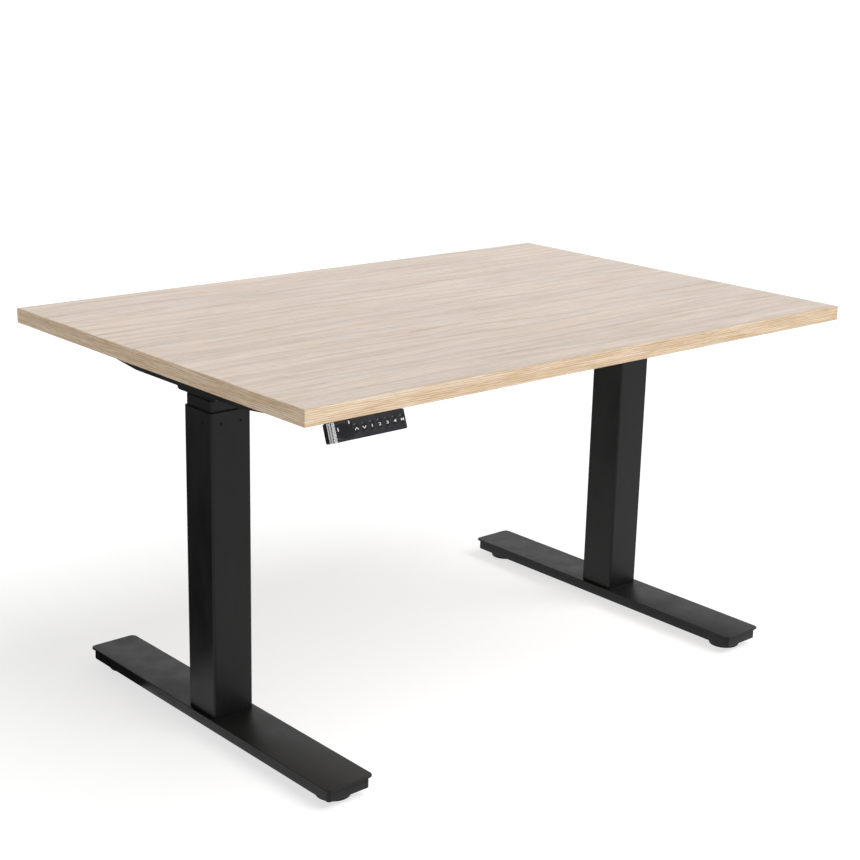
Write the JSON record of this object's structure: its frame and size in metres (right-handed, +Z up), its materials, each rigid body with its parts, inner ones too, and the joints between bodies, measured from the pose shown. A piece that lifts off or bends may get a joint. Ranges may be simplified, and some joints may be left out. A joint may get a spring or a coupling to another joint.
{
  "type": "height adjustable standing desk",
  "caption": "Sit-stand desk with a pale oak panel on two telescoping electric columns with flat feet, and a tilted keypad handset under the front edge.",
  "frame": {"origin": "on the floor, under the centre of the desktop, with the desk at its lowest setting", "axes": "+X along the front edge to the user's right, +Y from the front edge to the back, +Z up"},
  "size_m": [1.2, 0.8094, 0.654],
  "materials": {
    "desktop": "pale oak melamine, fine matt texture",
    "edge_band": "oak-print ABS edge band",
    "frame_steel": "satin black powder coat",
    "guide_plastic": "black moulded acetal",
    "machined_steel": "rolled and greased",
    "nut_plastic": "natural acetal",
    "cast_aluminium": "die cast",
    "motor_case": "black painted can",
    "glide_plastic": "black moulded plastic",
    "zinc_steel": "bright zinc plate",
    "black_bolts": "black oxide",
    "box_plastic": "fine moulded texture",
    "circuit_board": "solder mask and parts",
    "handset_shell": "moulded ABS",
    "handset_cover": "gloss black ABS",
    "display_window": "tinted acrylic",
    "key_plastic": "gloss black with white icons"
  },
  "bodies": {
    "base": {"foot_left": "frame_steel", "outer_tube_left": "frame_steel", "outer_guides_left": "guide_plastic", "fixed_screw_left": "machined_steel", "foot_right": "frame_steel", "outer_tube_right": "frame_steel", "outer_guides_right": "guide_plastic", "fixed_screw_right": "machined_steel", "foot_bolts": "zinc_steel"},
    "top": {"desktop_board": "desktop", "edge_band_front": "edge_band", "edge_band_back": "edge_band", "edge_band_left": "edge_band", "edge_band_right": "edge_band", "crossbeam_centre": "frame_steel", "control_box_base": "box_plastic", "control_box_lid": "box_plastic", "control_board": "circuit_board", "handset_rear": "handset_shell", "handset_front": "handset_cover", "display_window": "display_window", "desk_screws": "zinc_steel", "frame_bolts": "black_bolts", "inner_tube_left": "frame_steel", "lift_nut_left": "nut_plastic", "gearbox_left": "cast_aluminium", "motor_left": "motor_case", "crossbeam_left": "frame_steel", "side_bracket_left": "frame_steel", "inner_tube_right": "frame_steel", "lift_nut_right": "nut_plastic", "gearbox_right": "cast_aluminium", "motor_right": "motor_case", "crossbeam_right": "frame_steel", "side_bracket_right": "frame_steel"},
    "middle_left": {"middle_tube_left": "frame_steel", "middle_guides_left": "guide_plastic"},
    "hollow_screw_left": {"hollow_screw_left": "machined_steel"},
    "drive_shaft_left": {"drive_shaft_left": "machined_steel"},
    "motor_worm_left": {"motor_worm_left": "machined_steel"},
    "middle_right": {"middle_tube_right": "frame_steel", "middle_guides_right": "guide_plastic"},
    "hollow_screw_right": {"hollow_screw_right": "machined_steel"},
    "drive_shaft_right": {"drive_shaft_right": "machined_steel"},
    "motor_worm_right": {"motor_worm_right": "machined_steel"},
    "pad_front_left": {"glide_pad_front_left": "glide_plastic"},
    "stud_front_left": {"glide_stud_front_left": "zinc_steel"},
    "pad_front_right": {"glide_pad_front_right": "glide_plastic"},
    "stud_front_right": {"glide_stud_front_right": "zinc_steel"},
    "pad_back_left": {"glide_pad_back_left": "glide_plastic"},
    "stud_back_left": {"glide_stud_back_left": "zinc_steel"},
    "pad_back_right": {"glide_pad_back_right": "glide_plastic"},
    "stud_back_right": {"glide_stud_back_right": "zinc_steel"},
    "key_up": {"key_up": "key_plastic"},
    "key_down": {"key_down": "key_plastic"},
    "key_1": {"key_1": "key_plastic"},
    "key_2": {"key_2": "key_plastic"},
    "key_3": {"key_3": "key_plastic"},
    "key_4": {"key_4": "key_plastic"},
    "key_memory": {"key_memory": "key_plastic"}
  },
  "joints": [
    {"name": "desk_lift", "type": "slide", "parent": "base", "child": "top", "axis": [0, 0, 1], "range_m": [0, 0.65]},
    {"name": "middle_slide_left", "type": "slide", "parent": "base", "child": "middle_left", "axis": [0, 0, 1], "range_m": [0, 0.325]},
    {"name": "hollow_screw_turn_left", "type": "hinge", "parent": "middle_left", "child": "hollow_screw_left", "pos_m": [-0.47, 0, 0.3], "axis": [0, 0, 1], "range_deg": [0, 11701.1]},
    {"name": "drive_shaft_turn_left", "type": "hinge", "parent": "top", "child": "drive_shaft_left", "pos_m": [-0.47, 0, 0.5], "axis": [0, 0, 1], "range_deg": [0, 11701.1]},
    {"name": "motor_turn_left", "type": "hinge", "parent": "top", "child": "motor_worm_left", "pos_m": [-0.47, 0.025, 0.6], "axis": [1, 0, 0], "range_deg": [0, 234001.1]},
    {"name": "middle_slide_right", "type": "slide", "parent": "base", "child": "middle_right", "axis": [0, 0, 1], "range_m": [0, 0.325]},
    {"name": "hollow_screw_turn_right", "type": "hinge", "parent": "middle_right", "child": "hollow_screw_right", "pos_m": [0.47, 0, 0.3], "axis": [0, 0, 1], "range_deg": [0, 11701.1]},
    {"name": "drive_shaft_turn_right", "type": "hinge", "parent": "top", "child": "drive_shaft_right", "pos_m": [0.47, 0, 0.5], "axis": [0, 0, 1], "range_deg": [0, 11701.1]},
    {"name": "motor_turn_right", "type": "hinge", "parent": "top", "child": "motor_worm_right", "pos_m": [0.47, 0.025, 0.6], "axis": [1, 0, 0], "range_deg": [0, 234001.1]},
    {"name": "glide_lift_front_left", "type": "slide", "parent": "base", "child": "pad_front_left", "axis": [0, 0, -1], "range_m": [0, 0.008]},
    {"name": "glide_turn_front_left", "type": "hinge", "parent": "pad_front_left", "child": "stud_front_left", "pos_m": [-0.47, -0.3025, 0.02], "axis": [0, 0, -1], "range_deg": [0, 2305]},
    {"name": "glide_lift_front_right", "type": "slide", "parent": "base", "child": "pad_front_right", "axis": [0, 0, -1], "range_m": [0, 0.008]},
    {"name": "glide_turn_front_right", "type": "hinge", "parent": "pad_front_right", "child": "stud_front_right", "pos_m": [0.47, -0.3025, 0.02], "axis": [0, 0, -1], "range_deg": [0, 2305]},
    {"name": "glide_lift_back_left", "type": "slide", "parent": "base", "child": "pad_back_left", "axis": [0, 0, -1], "range_m": [0, 0.008]},
    {"name": "glide_turn_back_left", "type": "hinge", "parent": "pad_back_left", "child": "stud_back_left", "pos_m": [-0.47, 0.3025, 0.02], "axis": [0, 0, -1], "range_deg": [0, 2305]},
    {"name": "glide_lift_back_right", "type": "slide", "parent": "base", "child": "pad_back_right", "axis": [0, 0, -1], "range_m": [0, 0.008]},
    {"name": "glide_turn_back_right", "type": "hinge", "parent": "pad_back_right", "child": "stud_back_right", "pos_m": [0.47, 0.3025, 0.02], "axis": [0, 0, -1], "range_deg": [0, 2305]},
    {"name": "key_up_press", "type": "slide", "parent": "top", "child": "key_up", "axis": [0, 0.9421, -0.3354], "range_m": [0, 0.0005], "stiffness_N_per_m": 800, "springref_m": -0.0005},
    {"name": "key_down_press", "type": "slide", "parent": "top", "child": "key_down", "axis": [0, 0.9421, -0.3354], "range_m": [0, 0.0005], "stiffness_N_per_m": 800, "springref_m": -0.0005},
    {"name": "key_1_press", "type": "slide", "parent": "top", "child": "key_1", "axis": [0, 0.9421, -0.3354], "range_m": [0, 0.0005], "stiffness_N_per_m": 800, "springref_m": -0.0005},
    {"name": "key_2_press", "type": "slide", "parent": "top", "child": "key_2", "axis": [0, 0.9421, -0.3354], "range_m": [0, 0.0005], "stiffness_N_per_m": 800, "springref_m": -0.0005},
    {"name": "key_3_press", "type": "slide", "parent": "top", "child": "key_3", "axis": [0, 0.9421, -0.3354], "range_m": [0, 0.0005], "stiffness_N_per_m": 800, "springref_m": -0.0005},
    {"name": "key_4_press", "type": "slide", "parent": "top", "child": "key_4", "axis": [0, 0.9421, -0.3354], "range_m": [0, 0.0005], "stiffness_N_per_m": 800, "springref_m": -0.0005},
    {"name": "key_memory_press", "type": "slide", "parent": "top", "child": "key_memory", "axis": [0, 0.9421, -0.3354], "range_m": [0, 0.0005], "stiffness_N_per_m": 800, "springref_m": -0.0005}
  ],
  "couplings": [
    {"joint": "middle_slide_left", "follows": "desk_lift", "ratio": 0.5},
    {"joint": "hollow_screw_turn_left", "follows": "desk_lift", "rad_per_m": 314.16},
    {"joint": "drive_shaft_turn_left", "follows": "desk_lift", "rad_per_m": 314.16},
    {"joint": "motor_turn_left", "follows": "desk_lift", "rad_per_m": 6283.2},
    {"joint": "middle_slide_right", "follows": "desk_lift", "ratio": 0.5},
    {"joint": "hollow_screw_turn_right", "follows": "desk_lift", "rad_per_m": 314.16},
    {"joint": "drive_shaft_turn_right", "follows": "desk_lift", "rad_per_m": 314.16},
    {"joint": "motor_turn_right", "follows": "desk_lift", "rad_per_m": 6283.2},
    {"joint": "glide_turn_front_left", "follows": "glide_lift_front_left", "rad_per_m": 5026.5},
    {"joint": "glide_turn_front_right", "follows": "glide_lift_front_right", "rad_per_m": 5026.5},
    {"joint": "glide_turn_back_left", "follows": "glide_lift_back_left", "rad_per_m": 5026.5},
    {"joint": "glide_turn_back_right", "follows": "glide_lift_back_right", "rad_per_m": 5026.5}
  ]
}
